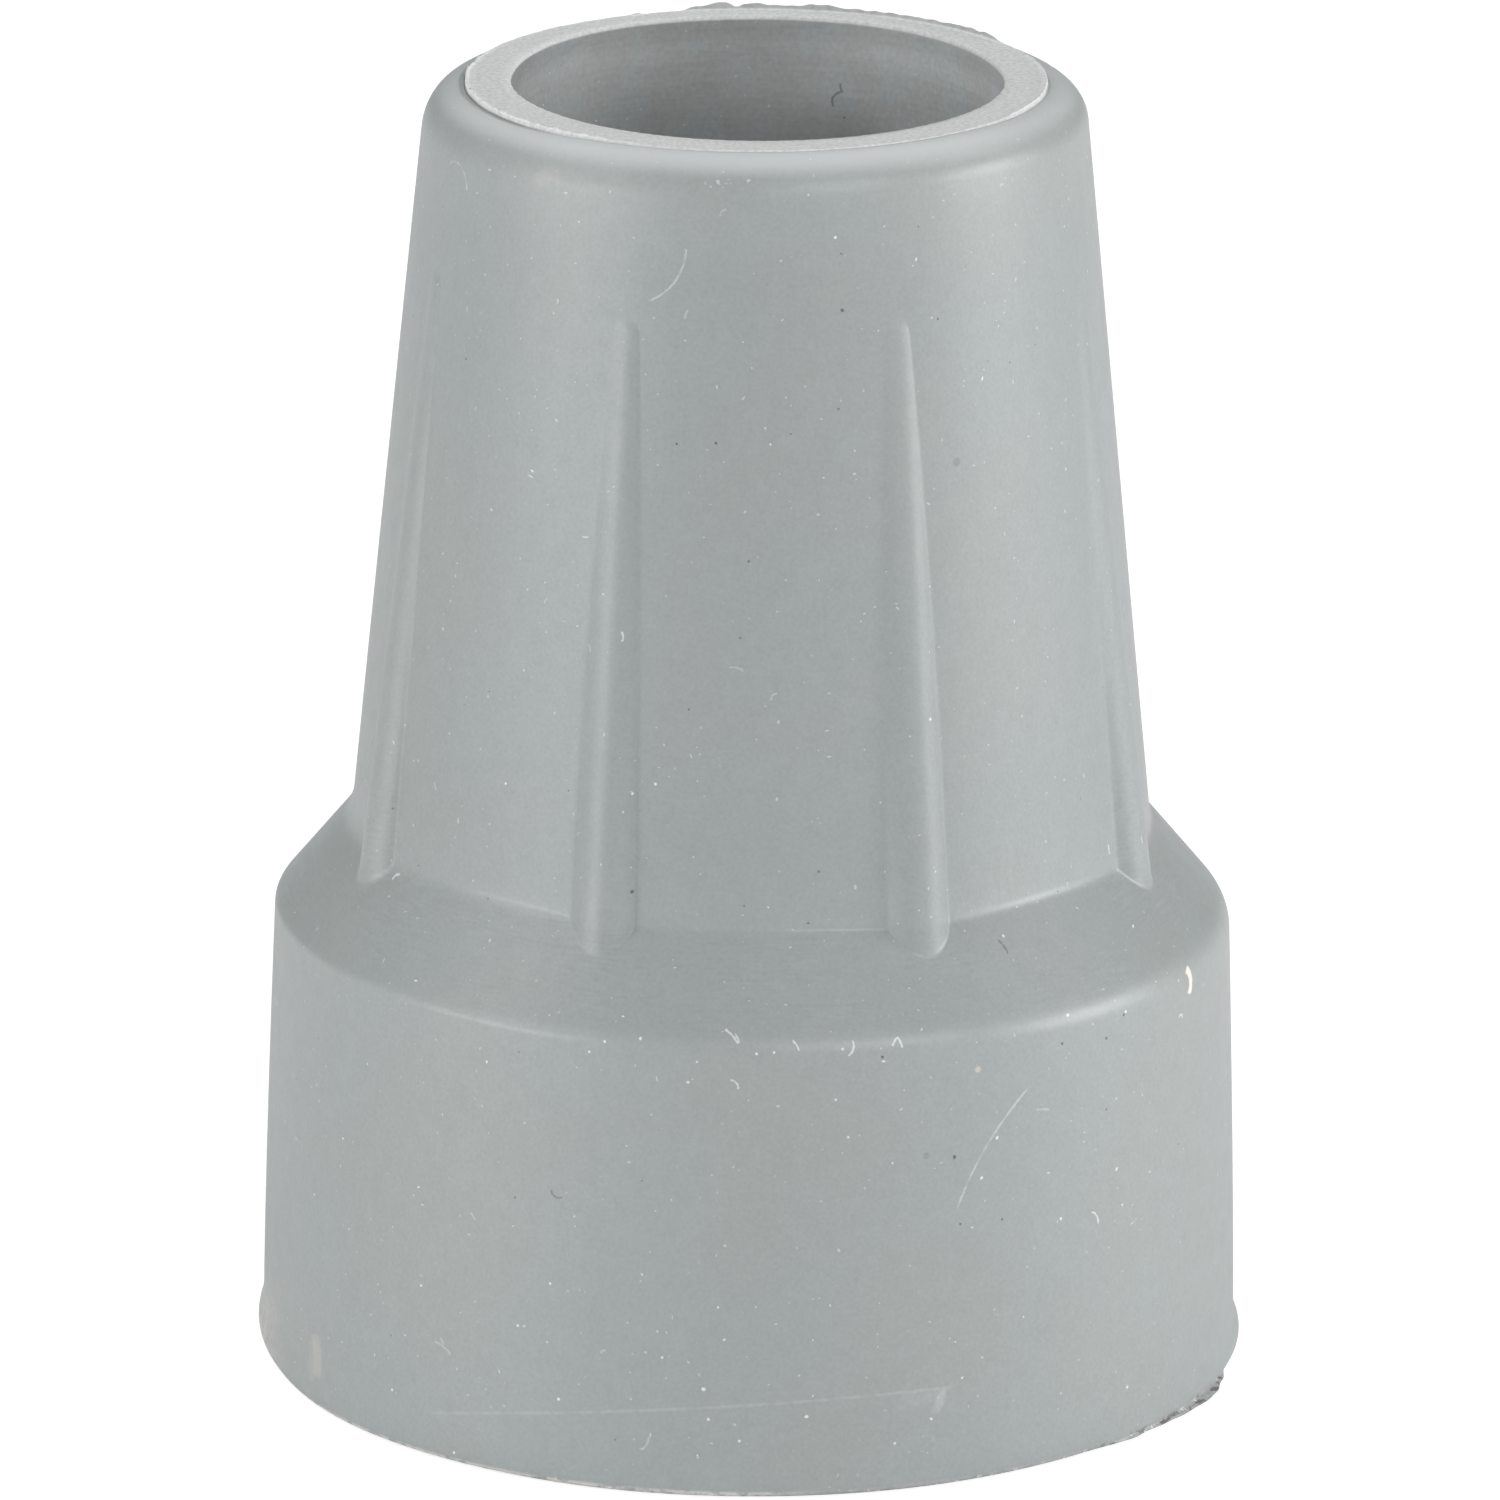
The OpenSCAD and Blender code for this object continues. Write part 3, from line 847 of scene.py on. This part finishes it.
def paint_marks(nodes, spot, colour):
    """The marks that sit in one place each: hairs, scratches, lint, crumbs and smears."""
    rough = nodes.math("MULTIPLY_ADD", nodes.noise(spot.at, 8.0, 0.0), 0.06, -0.03)
    broken = nodes.ease(nodes.noise(spot.at, 2.0, 2.0), 0.36, 0.58, 0.25, 1.0)
    patchy = nodes.ease(nodes.noise(spot.at, 1.2, 2.0), 0.38, 0.62)
    dotted = nodes.ease(nodes.noise(spot.at, 3.5, 1.0), 0.50, 0.56)
    flat = spot.unrolled
    for mask, amount, paint in (
            (nodes.near_lines(flat, SMEARS, 0.34, rough), 0.14, DUST_WARM),
            (nodes.near_lines(flat, [LEFT_SMEAR], 0.42, rough), 0.32, DUST_WARM),
            (nodes.times(nodes.near_lines(flat, [CUT_LINE], 0.08, rough), broken), 0.13,
             DUST_WHITE),
            (nodes.times(nodes.near_lines(flat, [CUT_END], 0.26, rough), patchy), 0.14,
             DUST_WHITE),
            (nodes.times(nodes.near_lines(flat, [CUT_FAN], 0.50, rough), patchy), 0.08,
             DUST_WHITE),
            (nodes.times(nodes.near_lines(flat, BROKEN_LINES, 0.055, rough), broken), 0.36,
             DUST_WHITE),
            (nodes.times(nodes.near_lines(flat, [DOTTED_LINE], 0.09, rough), dotted), 0.5,
             DUST_WHITE),
            (nodes.near_lines(flat, FINE_LINES, 0.05, rough), 0.26, DUST_WHITE),
            (nodes.near_lines(flat, LINT, 0.05, rough), 0.62, DUST_WHITE),
            (nodes.near_lines(flat, DARK_LINES, 0.05, rough), 0.45, DIRT_DARK),
            (nodes.near_lines(flat, [DRIP], 0.20, rough), 0.9, DRIP_WHITE),
            (nodes.near_dots(flat, [DRIP_END], rough), 0.9, DRIP_WHITE),
            (nodes.near_dots(flat, PALE_DOTS, rough), 0.9, DUST_WHITE),
            (nodes.near_dots(flat, WARM_DOTS, rough), 0.8, DUST_WARM),
            (nodes.near_dots(flat, BLURRED_DOTS, rough), 0.22, DIRT_DARK),
            (nodes.near_dots(flat, DARK_DOTS, rough), 0.8, DIRT_DARK)):
        colour = nodes.mix(nodes.times(mask, spot.outside, amount), colour, paint)
    return colour


def rubber_bump(nodes, spot):
    """A fine moulded grain, coarser on the cut land."""
    grain = nodes.noise(spot.at, 6.0, 1.0)
    height = nodes.times(grain, nodes.math("MULTIPLY_ADD", spot.land, 2.0, 1.0))
    bump = nodes.node("Bump", {"Height": height, "Strength": 0.4, "Distance": 0.01 * MM})
    return bump.outputs["Normal"]


def make_rubber():
    material = bpy.data.materials.new("grey_rubber")
    material.use_nodes = True
    nodes = Nodes(material)
    spot = Spot(nodes)
    colour = plain_rubber(nodes, spot)
    for paint in (paint_tool_lines_and_shade, paint_bore, paint_land, paint_dirt_and_foot_light, paint_crumbs,
                  paint_marks):
        colour = paint(nodes, spot, colour)
    patches = nodes.noise(spot.at, 0.8, 1.0)
    gloss = nodes.math("MULTIPLY_ADD", patches, 0.12, ROUGHNESS - 0.06)
    matt = nodes.math("MAXIMUM", spot.land, spot.bore)
    gloss = nodes.math("MULTIPLY_ADD", matt, 0.25, gloss)
    shader = material.node_tree.nodes["Principled BSDF"]
    nodes.put(shader.inputs["Base Color"], colour)
    nodes.put(shader.inputs["Roughness"], gloss)
    nodes.put(shader.inputs["Normal"], rubber_bump(nodes, spot))
    return material


def make_camera():
    camera = bpy.data.objects.new("camera", bpy.data.cameras.new("camera"))
    camera.data.lens = CAMERA_LENS
    camera.data.sensor_width = CAMERA_SENSOR
    camera.data.clip_start = 0.01
    camera.data.clip_end = 10
    place = Matrix.Rotation(CAMERA_AZIMUTH, 4, "Z")
    place = place @ Matrix.Translation((0, -CAMERA_DISTANCE * MM, CAMERA_HEIGHT * MM))
    look = Euler((math.pi / 2 - CAMERA_PITCH, 0, CAMERA_YAW), "XYZ").to_matrix().to_4x4()
    camera.matrix_world = place @ look @ Matrix.Rotation(CAMERA_ROLL, 4, "Z")
    bpy.context.scene.collection.objects.link(camera)
    bpy.context.scene.camera = camera


def make_light(name, azimuth_deg, elevation_deg, width, height, power):
    """A soft box that faces the middle of the part and isn't seen by the camera."""
    light = bpy.data.lights.new(name, "AREA")
    light.shape = "RECTANGLE"
    light.size = width
    light.size_y = height
    light.energy = power
    lamp = bpy.data.objects.new(name, light)
    azimuth, elevation = math.radians(azimuth_deg), math.radians(elevation_deg)
    turn = Matrix.Rotation(azimuth, 4, "Z") @ Matrix.Rotation(-elevation, 4, "X")
    aim = Matrix.Translation((0, 0, HEIGHT / 2 * MM))
    lamp.matrix_world = (aim @ turn @ Matrix.Translation((0, -LIGHT_DISTANCE, 0))
                         @ Matrix.Rotation(math.pi / 2, 4, "X"))
    lamp.visible_camera = False
    bpy.context.scene.collection.objects.link(lamp)


def make_world():
    world = bpy.data.worlds.new("studio")
    bpy.context.scene.world = world
    world.use_nodes = True
    nodes, links = world.node_tree.nodes, world.node_tree.links
    surface = nodes["Background"]
    surface.inputs["Color"].default_value = (1, 1, 1, 1)
    surface.inputs["Strength"].default_value = AMBIENT
    white = nodes.new("ShaderNodeBackground")
    white.inputs["Color"].default_value = (1, 1, 1, 1)
    white.inputs["Strength"].default_value = 1
    path = nodes.new("ShaderNodeLightPath")
    mix = nodes.new("ShaderNodeMixShader")
    links.new(path.outputs["Is Camera Ray"], mix.inputs["Fac"])
    links.new(surface.outputs["Background"], mix.inputs[1])
    links.new(white.outputs["Background"], mix.inputs[2])
    links.new(mix.outputs["Shader"], nodes["World Output"].inputs["Surface"])


def make_floor():
    """A plain pale floor a hair under the tread. The camera sees it as white, with the
    shadow of the part."""
    mesh = bpy.data.meshes.new("floor")
    half, low = FLOOR_HALF, -FLOOR_DROP
    corners = [(-half, -half, low), (half, -half, low), (half, half, low), (-half, half, low)]
    mesh.from_pydata(corners, [], [(0, 1, 2, 3)])
    floor = bpy.data.objects.new("floor", mesh)
    bpy.context.scene.collection.objects.link(floor)
    material = bpy.data.materials.new("pale_floor")
    material.use_nodes = True
    nodes = Nodes(material)
    paper = material.node_tree.nodes["Principled BSDF"]
    paper.inputs["Base Color"].default_value = FLOOR_PAPER
    paper.inputs["Roughness"].default_value = 0.9
    shaded = nodes.node("BsdfDiffuse", {"Color": FLOOR_SHADED})
    white = nodes.node("Emission", {"Color": (1, 1, 1, 1), "Strength": FLOOR_GLOW})
    seen = nodes.node("AddShader")
    nodes.put(seen.inputs[0], shaded.outputs["BSDF"])
    nodes.put(seen.inputs[1], white.outputs["Emission"])
    pick = nodes.node("MixShader", {"Fac": nodes.node("LightPath").outputs["Is Camera Ray"]})
    nodes.put(pick.inputs[1], paper.outputs["BSDF"])
    nodes.put(pick.inputs[2], seen.outputs["Shader"])
    output = material.node_tree.nodes["Material Output"]
    nodes.put(output.inputs["Surface"], pick.outputs["Shader"])
    mesh.materials.append(material)
    return floor


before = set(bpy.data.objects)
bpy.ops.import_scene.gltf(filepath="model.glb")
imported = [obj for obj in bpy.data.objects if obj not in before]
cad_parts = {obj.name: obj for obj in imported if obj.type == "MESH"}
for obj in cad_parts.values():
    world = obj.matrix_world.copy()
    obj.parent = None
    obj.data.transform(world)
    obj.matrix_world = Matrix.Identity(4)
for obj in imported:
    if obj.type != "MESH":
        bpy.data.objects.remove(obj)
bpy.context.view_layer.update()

cane_tip = make_cane_tip()
cane_tip.data.materials.append(make_rubber())
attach(cane_tip, "root")
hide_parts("cane_tip")

floor = make_floor()

make_world()
# Azimuth and elevation in degrees, width and height in metres, power in watts. The powers
# were first fitted to the photo's tones and then set one by one.
make_light("right_box", 83, 9, 0.54, 0.30, 5.95)
make_light("right_high", 90, 40, 0.50, 0.40, 1.03)
make_light("front_fill", 28, 25, 0.52, 0.34, 3.13)
make_light("front_left_fill", -46, 9, 0.30, 0.30, 0.66)
make_light("left_low", -60, 4, 0.50, 0.16, 2.3)
make_light("left_box", -76, 9, 0.27, 0.30, 1.18)
make_light("left_high", -70, 35, 0.50, 0.30, 1.54)
make_light("back_left", -100, 55, 0.90, 0.40, 1.75)
make_light("back_high", 180, 55, 0.90, 0.40, 1.85)
make_light("back_low", 180, 28, 1.20, 0.30, 0.82)
make_light("top", 0, 88, 0.60, 0.60, 0.99)
make_camera()

bpy.context.scene.view_settings.view_transform = "Standard"
